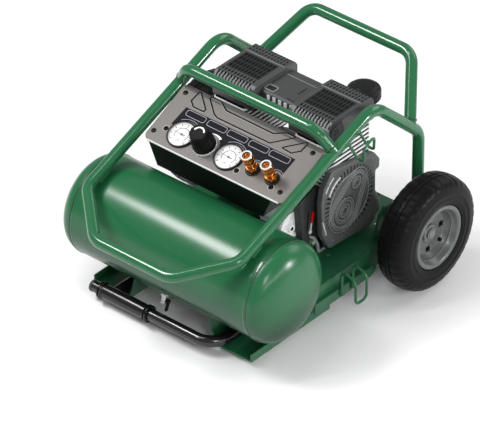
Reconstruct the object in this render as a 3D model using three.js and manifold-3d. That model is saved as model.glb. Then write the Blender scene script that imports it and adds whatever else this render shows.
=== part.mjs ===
// Two-wheel air compressor with a front tank, a panel over it and a pull handle.
// Millimetres. +X to the machine's right as seen from the front, +Y rearwards, +Z up.
import * as THREE from 'three';
import { mergeVertices } from 'three/addons/utils/BufferGeometryUtils.js';
import Module from 'manifold-3d';

const wasm = await Module();
wasm.setup();

// Tubes of the frame
const TUBE_R = 12.7;
const TUBE_WALL = 1.8;
const TUBE_SIDES = 12;
const GAP = 0.3;
const HALF_TRACK = 202;            // centre line of the side tubes
const RISE = 0.389;                // slope of the long side tubes
const RISE_LENGTH = Math.hypot(1, RISE);
const ALONG = [0, 1 / RISE_LENGTH, RISE / RISE_LENGTH];
const NORMAL = [0, -RISE / RISE_LENGTH, 1 / RISE_LENGTH];

// Tank
const TANK = { y: -142, z: 164, r: 109.5, seam: 235, dome: 50, wall: 2.5 };
const TANK_SIDES = 44;

// Sheet metal underneath
const DECK_TOP = 84;
const DECK_HALF = 212;
const SHEET = 3;
const RUNNER_BOTTOM = 11;

// Wheels
const WHEEL = { x: 290, y: 250, z: 127, r: 127, half: 38 };
const AXLE_R = 8;

// Pull handle
const HANDLE = { x: 136, z: 30, front: -232, rear: 290, end: -186 };

// Panel: its lower front edge, its slope and the places of what is on it
const PANEL = { y: -79, z: 318, slope: THREE.MathUtils.degToRad(25.2), half: 186.5, length: 146 };
const TANK_GAUGE = [-112.5, 41.3];
const OUTLET_GAUGE = [12.3, 41.4];
const KNOB = [-50, 41.5];
const COUPLERS = [[77, 41], [128, 41]];

// Pump: shaft line and the extents of its pieces
const SHAFT = { y: 168, z: 191 };
const COWL = { inner: 46.5, outer: 155.5 };

const group = new THREE.Group();
group.name = 'wheelbarrow_air_compressor';

const PAINTS = {
  green_paint: 0x38784f, black_plastic: 0x171717, panel_grey: 0x9b9693, black_steel: 0x141414,
  tyre: 0x161616, rim_grey: 0x6e7172, steel: 0xb9babb, brass: 0xb5752a, aluminium: 0xc9cbcc,
  dark_grey: 0x4b4d4d, red_plastic: 0xd8130f, rubber: 0x101010, gauge_white: 0xf2f2f0,
};
const materials = {};
for (const [slot, color] of Object.entries(PAINTS)) {
  materials[slot] = new THREE.MeshStandardMaterial({ name: slot, color });
}

// ---------------------------------------------------------------- solids

// A closed geometry becomes a solid; its faces are turned outwards if they point in.
function solid(source, place) {
  let geometry = source.index ? source.clone() : source;
  geometry.deleteAttribute('normal');
  geometry.deleteAttribute('uv');
  if (place) geometry.applyMatrix4(place);
  geometry = mergeVertices(geometry, 1e-4);
  const p = geometry.attributes.position;
  const index = Array.from(geometry.index.array);
  const kept = [];
  let volume = 0;
  const corner = [new THREE.Vector3(), new THREE.Vector3(), new THREE.Vector3()];
  for (let i = 0; i < index.length; i += 3) {
    const [a, b, c] = [index[i], index[i + 1], index[i + 2]];
    if (a === b || b === c || c === a) continue;
    kept.push([a, b, c]);
    [a, b, c].forEach((k, j) => corner[j].fromBufferAttribute(p, k));
    volume += corner[0].dot(corner[1].clone().cross(corner[2]));
  }
  const turned = volume < 0 ? kept.map(([a, b, c]) => [a, c, b]) : kept;
  const mesh = new wasm.Mesh({
    numProp: 3,
    vertProperties: Float32Array.from(p.array),
    triVerts: Uint32Array.from(turned.flat()),
  });
  mesh.merge();
  return new wasm.Manifold(mesh);
}

function add(name, slot, manifold) {
  const mesh = manifold.getMesh();
  const geometry = new THREE.BufferGeometry();
  geometry.setAttribute('position', new THREE.BufferAttribute(Float32Array.from(mesh.vertProperties), 3));
  geometry.setIndex(Array.from(mesh.triVerts));
  const node = new THREE.Mesh(geometry, materials[slot]);
  node.name = name;
  group.add(node);
}

function box(x0, x1, y0, y1, z0, z1) {
  const geometry = new THREE.BoxGeometry(x1 - x0, y1 - y0, z1 - z0);
  geometry.translate((x0 + x1) / 2, (y0 + y1) / 2, (z0 + z1) / 2);
  return solid(geometry);
}

// Local X, Y, Z of a shape laid along three directions from an origin.
function frame(x, y, z, origin) {
  const m = new THREE.Matrix4();
  m.makeBasis(new THREE.Vector3(...x), new THREE.Vector3(...y), new THREE.Vector3(...z));
  m.setPosition(...origin);
  return m;
}
const AXES = {
  x: (at) => frame([0, 1, 0], [0, 0, 1], [1, 0, 0], at),
  y: (at) => frame([0, 0, 1], [1, 0, 0], [0, 1, 0], at),
  z: (at) => frame([1, 0, 0], [0, 1, 0], [0, 0, 1], at),
};
const PANEL_V = [0, Math.cos(PANEL.slope), Math.sin(PANEL.slope)];
const PANEL_N = [0, -Math.sin(PANEL.slope), Math.cos(PANEL.slope)];
const onPanel = ([u, v]) => frame([1, 0, 0], PANEL_V, PANEL_N,
  [u, PANEL.y + PANEL_V[1] * v, PANEL.z + PANEL_V[2] * v]);

// A flat outline given in local X, Y, raised from low to high along local Z.
function prism(outline, low, high, place) {
  const shape = new THREE.Shape(outline.map(([a, b]) => new THREE.Vector2(a, b)));
  const geometry = new THREE.ExtrudeGeometry(shape, { depth: high - low, bevelEnabled: false });
  geometry.translate(0, 0, low);
  return solid(geometry, place);
}
const prismX = (outline, low, high) => prism(outline, low, high, AXES.x([0, 0, 0]));
const prismY = (outline, low, high) => prism(outline.map(([x, z]) => [z, x]), low, high, AXES.y([0, 0, 0]));
const prismZ = (outline, low, high) => prism(outline, low, high, AXES.z([0, 0, 0]));

// A turned solid: profile of [radius, height along local Z].
function turned(profile, place, sides = 24) {
  const points = profile.map(([r, h]) => new THREE.Vector2(r, h));
  const geometry = new THREE.LatheGeometry(points, sides);
  geometry.rotateX(Math.PI / 2);
  return solid(geometry, place);
}
const rod = (r, low, high, place, sides = 24) => turned(
  [[0, low], [r, low], [r, high], [0, high]], place, sides);
const pipe = (outer, inner, low, high, place, sides = 24) => turned(
  [[inner, low], [outer, low], [outer, high], [inner, high], [inner, low]], place, sides);

// A path through listed points; a tube gets one ring of faces at each of them.
class BentPath extends THREE.Curve {
  constructor(points) {
    super();
    this.points = points;
  }
  getPoint(t) {
    const last = this.points.length - 1;
    const s = Math.min(Math.max(t, 0), 1) * last;
    const i = Math.min(Math.floor(s), last - 1);
    return this.points[i].clone().lerp(this.points[i + 1], s - i);
  }
  getPointAt(u) {
    return this.getPoint(u);
  }
  getTangentAt(u) {
    const last = this.points.length - 1;
    const i = Math.round(u * last);
    const sum = new THREE.Vector3();
    if (i > 0) sum.add(this.points[i].clone().sub(this.points[i - 1]).normalize());
    if (i < last) sum.add(this.points[i + 1].clone().sub(this.points[i]).normalize());
    return sum.normalize();
  }
}

// Corners [x, y, z, bend radius] become points: straight runs and sampled bends.
function bent(corners, steps = 5) {
  const at = corners.map(([x, y, z]) => new THREE.Vector3(x, y, z));
  const points = [at[0]];
  for (let i = 1; i < at.length - 1; i += 1) {
    const back = at[i - 1].clone().sub(at[i]).normalize();
    const ahead = at[i + 1].clone().sub(at[i]).normalize();
    const half = back.angleTo(ahead) / 2;
    const radius = corners[i][3];
    const centre = back.clone().add(ahead).normalize().multiplyScalar(radius / Math.sin(half)).add(at[i]);
    const start = back.clone().multiplyScalar(radius / Math.tan(half)).add(at[i]).sub(centre);
    const axis = start.clone().cross(back.clone().negate()).normalize();
    const sweep = Math.PI - 2 * half;
    for (let k = 0; k <= steps; k += 1) {
      points.push(start.clone().applyAxisAngle(axis, (sweep * k) / steps).add(centre));
    }
  }
  points.push(at[at.length - 1]);
  return points;
}

function bar(points, radius, sides = TUBE_SIDES) {
  const ring = [];
  for (let k = 0; k < sides; k += 1) {
    const a = (2 * Math.PI * k) / sides;
    ring.push(new THREE.Vector2(radius * Math.cos(a), radius * Math.sin(a)));
  }
  const geometry = new THREE.ExtrudeGeometry(new THREE.Shape(ring), {
    steps: points.length - 1, extrudePath: new BentPath(points),
  });
  return solid(geometry);
}

function lengthened(points, by) {
  const out = points.map((p) => p.clone());
  out[0].add(out[0].clone().sub(out[1]).normalize().multiplyScalar(by));
  const n = out.length - 1;
  out[n].add(out[n].clone().sub(out[n - 1]).normalize().multiplyScalar(by));
  return out;
}
const hollow = (points, r = TUBE_R) => bar(points, r)
  .subtract(bar(lengthened(points, 2), r - TUBE_WALL, 8));

const SIDES = [['left', -1], ['right', 1]];
const sideZ = (y) => 356.2 + RISE * y;
const mirrored = (manifold) => manifold.mirror([1, 0, 0]);
const forSide = (manifold, sign) => (sign > 0 ? manifold : mirrored(manifold));

// ---------------------------------------------------------------- tank

function tankProfile(shrink) {
  const r = TANK.r - shrink;
  const dome = TANK.dome - shrink;
  const steps = 7;
  const half = [];
  for (let k = 0; k <= steps; k += 1) {
    const a = (Math.PI / 2) * (k / steps);
    half.push([r * Math.sin(a), TANK.seam + dome * Math.cos(a)]);
  }
  const low = half.map(([q, h]) => [q, -h]);
  return [...low, ...half.reverse()];
}
const tankPlace = AXES.x([0, TANK.y, TANK.z]);
const tankOuter = turned(tankProfile(0), tankPlace, TANK_SIDES);
const tankInner = turned(tankProfile(TANK.wall), tankPlace, TANK_SIDES);
const tankClear = rod(TANK.r + GAP, -240, 240, tankPlace, TANK_SIDES);
const drainDirection = [0, -0.411, -0.9116];
const drainPlace = frame([1, 0, 0], [0, 0.9116, -0.411].map((c) => -c), drainDirection, [-30, TANK.y, TANK.z]);
const outletPlace = AXES.z([60, TANK.y + 45, TANK.z]);
const shell = tankOuter.subtract(tankInner)
  .subtract(rod(7, 90, 130, drainPlace, 12))
  .subtract(rod(7, 60, 130, outletPlace, 12));
add('tank_shell', 'green_paint', shell);

// Drain: a bushing in the tank, a small valve body, and a lever that turns on it
const drainBody = rod(6.5, 104, 116, drainPlace, 12)
  .add(rod(10.5, TANK.r + 0.6, 118, drainPlace, 16))
  .add(rod(7.5, 117, 134, drainPlace, 16))
  .subtract(rod(3, 100, 140, drainPlace, 8));
add('drain_valve_body', 'steel', drainBody);
const leverPlace = frame([0, 0.9116, -0.411].map((c) => -c), drainDirection, [1, 0, 0],
  [-30, TANK.y + drainDirection[1] * 126, TANK.z + drainDirection[2] * 126]);
const drainLever = rod(4.5, 8, 15, leverPlace, 12)
  .add(prism([[-4, -3], [4, -3], [4, 22], [-4, 22]], 11, 14, leverPlace));
add('drain_lever', 'black_plastic', drainLever);

// ---------------------------------------------------------------- sheet metal underneath

for (const [side, sign] of SIDES) {
  const floor = box(118, DECK_HALF, -204, 40, RUNNER_BOTTOM, RUNNER_BOTTOM + SHEET);
  const lip = box(DECK_HALF - SHEET, DECK_HALF, -204, 40, RUNNER_BOTTOM, 30);
  add(`runner_${side}`, 'green_paint', forSide(floor.add(lip), sign));

  const cradle = prismY([[93, 84], [97, 84], [119, 14.3], [115, 14.3]], -204, -80).subtract(tankClear);
  add(`tank_saddle_${side}`, 'green_paint', forSide(cradle, sign));

  const foot = turned([[0, 0], [15, 0], [15, 8], [11, 10.8], [0, 10.8]], AXES.z([165, -178, 0]), 20);
  add(`foot_${side}`, 'rubber', forSide(foot, sign));

  const bore = rod(TUBE_R + 0.4, -100, 60, AXES.y([HANDLE.x, 0, HANDLE.z]), 24);
  const sleeve = box(119, 153, -70, -36, 14.3, 47)
    .add(box(119, 153, -36, 0, 14.3, 16.8))
    .add(box(119, 153, 0, 30, 14.3, DECK_TOP - 2 * SHEET - GAP));
  add(`handle_guide_${side}`, 'green_paint', forSide(sleeve.subtract(bore), sign));
}

const front = [[-212, -18], [212, -18], [212, 170], [153, 197], [-153, 197], [-212, 170]];
const skirt = (sign) => forSide(box(209, 222, -18, 150, 52, 55)
  .add(prismX([[-18, 32], [160, 32], [169, 36], [176, 45], [172, 55], [-18, 55]], 219, 222)), sign);
let deck = prismZ(front, DECK_TOP - SHEET, DECK_TOP)
  .add(box(-205, 205, 150, 345, DECK_TOP - 2 * SHEET, DECK_TOP - SHEET))
  .add(box(-212, 212, -18, -15, 50, DECK_TOP));
for (const [, sign] of SIDES) {
  deck = deck.add(forSide(box(209, 212, -18, 170, 30.3, DECK_TOP), sign));
  deck = deck.add(forSide(box(202, 205, 150, 345, 30.3, DECK_TOP - SHEET), sign));
  deck = deck.add(forSide(box(202, 212, 160, 170, 30.3, DECK_TOP - SHEET), sign));
  deck = deck.add(skirt(sign));
  for (const [x, y] of [[155, 102.5], [155, 257]]) {
    deck = deck.subtract(forSide(rod(5, 60, 100, AXES.z([x, y, 0]), 16), sign));
  }
}
add('rear_deck', 'green_paint', deck);

// ---------------------------------------------------------------- tube frame

const kneeY = 331;
for (const [side, sign] of SIDES) {
  const x = HALF_TRACK * sign;
  const hoop = bent([[x, kneeY, DECK_TOP - SHEET + GAP], [x, kneeY, 292, 50],
    [x, 183, 427.4, 60], [x, -205, sideZ(-205)]]);
  // A pad welded under the tube rests on the tank.
  const seat = frame([1, 0, 0], ALONG, NORMAL, [0, TANK.y, TANK.z]);
  const pad = prism([[192, -17], [212, -17], [212, 17], [192, 17]], 100, 121, seat).subtract(tankClear);
  add(`side_hoop_${side}`, 'green_paint', bar(hoop, TUBE_R).add(forSide(pad, sign))
    .subtract(bar(lengthened(hoop, 2), TUBE_R - TUBE_WALL, 8)));
}
const noseY = -205.4;
const nose = bent([[-HALF_TRACK, noseY, sideZ(noseY)], [-HALF_TRACK, -229.6, 266.9, 32],
  [-100, -321.5, 231.2, 45], [100, -321.5, 231.2, 45], [HALF_TRACK, -229.6, 266.9, 32],
  [HALF_TRACK, noseY, sideZ(noseY)]]);
add('front_loop', 'green_paint', hollow(nose));

const sideClear = (sign) => {
  const x = HALF_TRACK * sign;
  return bar(bent([[x, kneeY, 60], [x, kneeY, 292, 50], [x, 183, 427.4, 60], [x, -230, sideZ(-230)]]),
    TUBE_R + GAP, 24);
};
const bothClear = sideClear(1).add(sideClear(-1));
const arch = bent([[-HALF_TRACK, 61, 379.5], [-170, 41.3, 430.2, 35], [170, 41.3, 430.2, 35],
  [HALF_TRACK, 61, 379.5]]);
add('top_crossbar', 'green_paint', hollow(arch).subtract(bothClear));
const lift = bent([[-HALF_TRACK, 302, 318.5], [-133, 390, 425, 40], [133, 390, 425, 40],
  [HALF_TRACK, 302, 318.5]]);
add('lift_hoop', 'green_paint', hollow(lift).subtract(bothClear));

// Hooks of bent wire for a hose or cord, on the machine's right side
const tubeLocal = (along, out, up) => [HALF_TRACK + out,
  97.7 + ALONG[1] * along + NORMAL[1] * up, sideZ(97.7) + ALONG[2] * along + NORMAL[2] * up];
const hookUpper = bent([[...tubeLocal(0, 1, -16.3)], [...tubeLocal(0, 21, -83), 9],
  [...tubeLocal(0, 44, -7), 10], [...tubeLocal(35, 44, -7), 10], [...tubeLocal(35, 21, -83), 9],
  [...tubeLocal(35, 1, -16.3)]], 4);
add('cord_hook_upper', 'green_paint', bar(hookUpper, 3, 8));
const hookLower = bent([[225.4, 62, 42], [225.4, 62, 100, 12], [262, 62, 86, 16], [262, 62, 31, 10],
  [262, 97, 31, 10], [262, 97, 86, 16], [225.4, 97, 100, 12], [225.4, 97, 42]], 3);
add('cord_hook_lower', 'green_paint', bar(hookLower, 3, 8));

// ---------------------------------------------------------------- wheels

function radialHoles(count, radius, r, low, high, place) {
  let holes = null;
  for (let k = 0; k < count; k += 1) {
    const a = (2 * Math.PI * (k + 0.5)) / count;
    const hole = rod(r, low, high, place.clone().multiply(
      new THREE.Matrix4().makeTranslation(radius * Math.cos(a), radius * Math.sin(a), 0)), 16);
    holes = holes ? holes.add(hole) : hole;
  }
  return holes;
}
const hub = AXES.x([WHEEL.x, WHEEL.y, WHEEL.z]);
const tyreProfile = [[66.4, -30.6], [71.5, -31.5], [73, -36], [85, -38], [105, -37], [118, -32],
  [125, -20], [127, -7], [127, 7], [125, 20], [118, 32], [105, 37], [85, 38], [73, 36], [71.5, 31.5],
  [66.4, 30.6], [66.4, -30.6]];
const rimProfile = [[62, -35], [71, -35], [71, -32.2], [66, -31], [66, 31], [71, 32.2], [71, 35],
  [62, 35], [62, -35]];
for (const [side, sign] of SIDES) {
  add(`tyre_${side}`, 'tyre', forSide(turned(tyreProfile, hub, 48), sign));
  const rim = turned(rimProfile, hub, 40)
    .add(pipe(64, 12, 4, 8, hub, 40))
    .add(pipe(20, AXLE_R + GAP, -32, 12, hub, 20))
    .subtract(radialHoles(4, 40, 12, 0, 40, hub));
  add(`rim_${side}`, 'rim_grey', forSide(rim, sign));
  const stub = rod(AXLE_R, -112, 17, hub, 20).add(rod(12, -96.4, -33, hub, 20)).add(rod(11, 12.5, 15.5, hub, 20));
  add(`axle_${side}`, 'steel', forSide(stub, sign));
  const bracket = prismX([[205, 84.3], [300, 84.3], [278, 137], [262, 149], [238, 149], [222, 137]], 187, 193)
    .subtract(rod(AXLE_R + GAP, -130, -60, hub, 20));
  add(`axle_bracket_${side}`, 'green_paint', forSide(bracket, sign));
}

// ---------------------------------------------------------------- pull handle

const legPoint = (x, y) => [x, y, HANDLE.z];
const uPath = bent([legPoint(HANDLE.x, HANDLE.rear), [...legPoint(HANDLE.x, HANDLE.front), 45],
  legPoint(HANDLE.end, HANDLE.front)], 8);
const toVector = (p) => new THREE.Vector3(...p);
const leftLeg = [legPoint(-HANDLE.x, HANDLE.rear), legPoint(-HANDLE.x, HANDLE.front)].map(toVector);
const leftBore = [legPoint(-HANDLE.x, HANDLE.rear + 2), legPoint(-HANDLE.x, HANDLE.front)].map(toVector);
const handle = bar(uPath, TUBE_R).add(bar(leftLeg, TUBE_R))
  .subtract(bar(lengthened(uPath, 2), TUBE_R - TUBE_WALL, 8))
  .subtract(bar(leftBore, TUBE_R - TUBE_WALL, 8));
add('pull_handle', 'black_steel', handle);
const crossPlace = AXES.x([0, HANDLE.front, HANDLE.z]);
const legClear = rod(TUBE_R + GAP, HANDLE.front + 2, HANDLE.rear, AXES.y([-HANDLE.x, 0, HANDLE.z]), 20);
const grip = turned([[13, -166], [19, -166], [19, -161], [15.7, -159], [15.7, -40], [19, -38],
  [19, -33], [13, -33], [13, -166]], crossPlace, 24).subtract(legClear);
add('handle_grip', 'black_plastic', grip);
const cap = turned([[0, -194], [6, -193], [10.5, -190.5], [13.4, -186.4], [9.8, -186.4], [9.8, -178],
  [0, -178]], crossPlace, 24);
add('handle_cap', 'black_plastic', cap);

// ---------------------------------------------------------------- panel and its box

const slopeY = (v, n) => PANEL.y + PANEL_V[1] * v + PANEL_N[1] * n;
const slopeZ = (v, n) => PANEL.z + PANEL_V[2] * v + PANEL_N[2] * n;
const onSlope = (v, n) => [slopeY(v, n), slopeZ(v, n)];
const boxOuter = [onSlope(4, -2.9), [-45, 235], [30, 232], [50, 300], onSlope(140, -2.9)];
const boxInner = [onSlope(8, 8), onSlope(8, -6), [-42.9, 238], [27.7, 235.2], [46.6, 300],
  onSlope(136, -4), onSlope(136, 8)];
const boxWidth = [[-177, 220], [96, 220], [144, 300], [144, 400], [-177, 400]];
const boxInnerWidth = [[-174, 220], [92.5, 220], [141, 301], [141, 400], [-174, 400]];
let controlBox = prismX(boxOuter, -177, 177).intersect(prismY(boxWidth, -100, 100))
  .subtract(prismX(boxInner, -176, 176).intersect(prismY(boxInnerWidth, -100, 100)));
for (const [reach, sign] of [[176, -1], [142, 1]]) {
  const tab = prism([[reach, 10], [188.5, 10], [188.5, 34], [reach, 34]], -22, -18, onPanel([0, 0]))
    .add(prism([[reach, 104], [188.5, 104], [188.5, 128], [reach, 128]], -22, -18, onPanel([0, 0])));
  controlBox = controlBox.add(forSide(tab, sign));
}
add('control_box', 'black_plastic', controlBox);

const c = 14;
const plateOutline = [[-PANEL.half + c, 0], [PANEL.half - c, 0], [PANEL.half - 4, 4], [PANEL.half, c],
  [PANEL.half, PANEL.length], [-PANEL.half, PANEL.length], [-PANEL.half, c], [-PANEL.half + 4, 4]];
let plate = prism(plateOutline, -2.5, 0, onPanel([0, 0]));
plate = plate.subtract(rod(12.9, -20, 20, onPanel(KNOB), 24));
for (const at of [TANK_GAUGE, OUTLET_GAUGE]) plate = plate.subtract(rod(29.3, -20, 20, onPanel(at), 32));
for (const at of COUPLERS) plate = plate.subtract(rod(9.8, -20, 20, onPanel(at), 24));
add('face_plate', 'panel_grey', plate);

for (const [name, at] of [['tank', TANK_GAUGE], ['outlet', OUTLET_GAUGE]]) {
  const place = onPanel(at);
  const gaugeCase = turned([[0, -26], [29, -26], [29, 0.3], [31.4, 0.3], [31.4, 5.5], [29.4, 5.5],
    [29.4, 1.2], [0, 1.2]], place, 32);
  add(`${name}_gauge_case`, 'black_plastic', gaugeCase);
  const a = THREE.MathUtils.degToRad(176);
  const pointer = place.clone().multiply(new THREE.Matrix4().makeRotationZ(a));
  const needle = rod(3, 1.6, 3.4, place, 12)
    .add(prism([[-8, -1.6], [-3, -1.2], [21, -0.5], [21, 0.5], [-3, 1.2], [-8, 1.6]], 1.8, 3, pointer));
  add(`${name}_gauge_needle`, 'black_plastic', needle);
}
const regulator = turned([[0, -48], [22, -48], [22, -3.2], [12.6, -3.2], [12.6, 0.3], [26, 0.3], [26, 6],
  [0, 6]], onPanel(KNOB), 28);
add('regulator_body', 'steel', regulator);
const knob = turned([[0, 6.4], [25, 6.4], [24.6, 20], [22.6, 38], [19.4, 45], [18.6, 50], [0, 50]],
  onPanel(KNOB), 28);
add('regulator_knob', 'black_plastic', knob);
COUPLERS.forEach((at, i) => {
  const place = onPanel(at);
  const body = turned([[0, -24], [9.5, -24], [9.5, 0.3], [15.5, 0.3], [15.5, 3], [9.8, 3], [9.8, 6],
    [13, 6], [13, 15], [9.5, 16], [9.5, 48], [4.6, 48], [4.6, 4], [0, 4]], place, 20);
  add(`coupler_body_${i + 1}`, 'brass', body);
  const sleeve = turned([[9.8, 24], [11.4, 24], [12.3, 27], [11.4, 34], [12.4, 38], [12.4, 50], [9.8, 50],
    [9.8, 24]], place, 20);
  add(`coupler_sleeve_${i + 1}`, 'brass', sleeve);
});

// ---------------------------------------------------------------- pump

const shaftPlace = AXES.x([0, SHAFT.y, SHAFT.z]);
add('motor_housing', 'dark_grey', turned([[9, -60], [74, -60], [76, -56], [76, 56], [74, 60], [9, 60],
  [9, 52], [70, 52], [70, -52], [9, -52], [9, -60]], shaftPlace, 32));
function fanBlades() {
  let fan = rod(14, 141, 158, shaftPlace, 16);
  for (let k = 0; k < 8; k += 1) {
    const place = shaftPlace.clone().multiply(new THREE.Matrix4().makeRotationZ((k * Math.PI) / 4));
    fan = fan.add(prism([[10, -2], [58, -2], [58, 2], [10, 2]], 143, 156, place));
  }
  return fan;
}
const fanRight = fanBlades();
add('rotor', 'steel', rod(8, -150, 150, shaftPlace, 16).add(rod(62, -46, 46, shaftPlace, 32))
  .add(fanRight).add(mirrored(fanRight)));
const crankOutline = [[108, 108], [104, 200], [112, 239], [224, 239], [262, 205], [262, 140], [236, 106]];
// A black guard wraps round the lower rear corner of each fan cover.
const guardOutline = [[222, 100], [226, 89.5], [250, 91], [271, 106], [271, 143], [258, 160], [240, 172]];
const guardClear = [[210, 88], [226, 94.5], [232, 96], [256.5, 123.5], [257.5, 151], [243, 180], [210, 180]];
const coverOutline = [[95, 107], [73, 149], [69, 231], [76, 261], [103, 294], [236, 273], [254, 249],
  [253, 228], [241, 226], [241, 179], [255, 150], [254, 125], [230, 97]];
const coverInset = [[98, 111], [77, 150], [73, 230], [80, 259], [104.5, 289.5], [233, 269], [249.6, 247],
  [249, 231], [237, 229], [237, 178], [251, 149], [250, 127], [228, 101]];
for (const [side, sign] of SIDES) {
  const guard = prismX(guardOutline, 118, 150).subtract(prismX(guardClear, 134.5, 170));
  const crank = prismX(crankOutline, 62, 132).add(guard).subtract(rod(10, 50, 140, shaftPlace, 20));
  add(`crankcase_${side}`, 'dark_grey', forSide(crank, sign));

  let block = box(76, 138, 112, 226, 239.3, 390);
  for (let k = 0; k < 10; k += 1) {
    const z = 254 + 9 * k;
    block = block.add(box(66, 150, 98, 240, z, z + 3));
  }
  add(`cylinder_${side}`, 'aluminium', forSide(block, sign));

  const cover = prismX(coverOutline, 136, 165).subtract(prismX(coverInset, 130, 162));
  const coverCut = box(60, 152, 96, 242, 230, 345);
  add(`fan_cover_${side}`, 'dark_grey', forSide(cover.subtract(coverCut), sign));

  const cowlOutline = [[102, 347], [102, 394], [113, 403], [204, 403], [237, 401], [243, 393], [243, 347]];
  const cowlInner = [[104.5, 340], [104.5, 393], [114, 400.5], [204, 400.5], [236, 398.5], [240.5, 392], [240.5, 340]];
  const cowl = prismX(cowlOutline, COWL.inner, COWL.outer)
    .subtract(prismX(cowlInner, COWL.inner + 2.5, COWL.outer - 2.5));
  add(`cowl_${side}`, 'dark_grey', forSide(cowl, sign));

  const mounts = box(80, 125, 116, 132, DECK_TOP + GAP, 107.7).add(box(80, 125, 196, 212, DECK_TOP + GAP, 107))
    .add(box(80, 125, 116, 212, DECK_TOP + GAP, DECK_TOP + 4)).subtract(prismX(crankOutline, 60, 140));
  add(`pump_mount_${side}`, 'rubber', forSide(mounts, sign));
}
add('cowl_bridge', 'dark_grey', prismX([[127, 372], [127, 386], [131, 390.5], [204, 390.5], [226, 388],
  [226, 372]], -46.2, 46.2).subtract(prismX([[129.5, 365], [129.5, 385], [132, 388], [204, 388],
  [223.5, 386], [223.5, 365]], -60, 60)));
const filter = turned([[0, 353], [33, 353], [36, 357], [36, 374], [33, 381], [22, 386], [0, 387]],
  AXES.z([97, 281, 0]), 32)
  .add(rod(9, 328, 354, AXES.z([97, 281, 0]), 16))
  .add(rod(9, 240.4, 281, AXES.y([97, 0, 328]), 16));
add('air_filter', 'black_plastic', filter);

// Pressure switch with its lever, the cast bracket beside it and the foot clamp
const switchOutline = [[42, 229], [98, 236], [98, 106], [54, 112]];
const switchBody = prismX(switchOutline, 112, 129.5).subtract(prismX(crankOutline.map(([y, z]) => [y, z]), 100, 135))
  .add(box(113, 127, 62, 92, DECK_TOP + GAP, 112));
add('pressure_switch', 'dark_grey', switchBody);
const leverBase = frame([0, 1, 0], [0, 0, 1], [1, 0, 0], [0, 73, 146]);
const swing = leverBase.clone().multiply(new THREE.Matrix4().makeRotationZ(THREE.MathUtils.degToRad(-11)));
add('switch_lever', 'red_plastic', rod(4, 129.8, 133, leverBase, 12)
  .add(prism([[-1.6, 0], [1.6, 0], [2.4, 22], [2.4, 44], [1.2, 46.5], [-1.2, 46.5], [-2.4, 44], [-2.4, 22]],
    130, 133, swing)));
add('cast_bracket', 'aluminium', prismX([[50, 201], [68, 170], [76, 140], [35, 138], [3, 180], [22, 204]], 98, 111.6)
  .add(prismX([[3, 181], [40, 184], [44, 208], [22, 216], [-4, 206]], 58, 100))
  .subtract(rod(5, 90, 120, AXES.x([0, 55, 155]), 12)));
const strap = [[71, 139], [84, 131], [96, 108], [99, 88], [116, 88], [116, 84.3], [94, 84.3], [90, 106],
  [80, 126], [69, 135]];
add('foot_clamp', 'steel', prismX(strap, 132.3, 135.7).subtract(prismX(crankOutline, 60, 132)));

// The origin is under the middle of the whole, on the ground.
const bounds = new THREE.Box3().setFromObject(group);
const middle = bounds.getCenter(new THREE.Vector3());
for (const node of group.children) {
  node.geometry.translate(-middle.x, -middle.y, -bounds.min.z);
}
group.userData.offset = middle.toArray();
export default group;
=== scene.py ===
"""Two-wheel air compressor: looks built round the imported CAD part, in metres, +Z up.

Lengths below are in millimetres in the CAD script's own layout; at() turns them into metres in the
row frame, whose origin is under the middle of the whole.
"""
import math

import bpy
import bmesh
from mathutils import Matrix, Vector


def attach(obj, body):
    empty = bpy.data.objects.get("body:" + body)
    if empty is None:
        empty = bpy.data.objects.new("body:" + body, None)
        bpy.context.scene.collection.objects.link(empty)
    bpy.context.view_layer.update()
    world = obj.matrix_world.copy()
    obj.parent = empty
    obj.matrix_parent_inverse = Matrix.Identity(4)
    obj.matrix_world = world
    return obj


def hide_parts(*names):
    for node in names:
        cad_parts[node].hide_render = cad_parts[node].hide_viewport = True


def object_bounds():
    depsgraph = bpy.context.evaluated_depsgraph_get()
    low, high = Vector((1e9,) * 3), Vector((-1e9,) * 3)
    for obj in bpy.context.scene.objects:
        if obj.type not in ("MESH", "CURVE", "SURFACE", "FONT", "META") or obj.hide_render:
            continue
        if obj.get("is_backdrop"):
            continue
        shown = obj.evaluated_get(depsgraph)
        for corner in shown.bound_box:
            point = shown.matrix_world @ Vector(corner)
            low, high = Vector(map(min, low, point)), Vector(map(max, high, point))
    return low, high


# ---------- what to change

ORIGIN_Y = 34.237             # shift between the CAD layout and the row frame, mm
CAMERA_AT = (5854.95, -6809.28, 6455.50)
CAMERA_AIM = (6.39, 0.0, 169.05)
CAMERA_LENS = 404.75

GREEN = (0.014, 0.120, 0.046)
PANEL_GREY = (0.165, 0.152, 0.143)
LABEL_NAVY = (0.005, 0.005, 0.010)
SHELL_GREY = (0.050, 0.053, 0.053)
RIM_GREY = (0.098, 0.106, 0.103)
BRASS = (0.62, 0.235, 0.05)
RED = (0.80, 0.008, 0.006)

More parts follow.
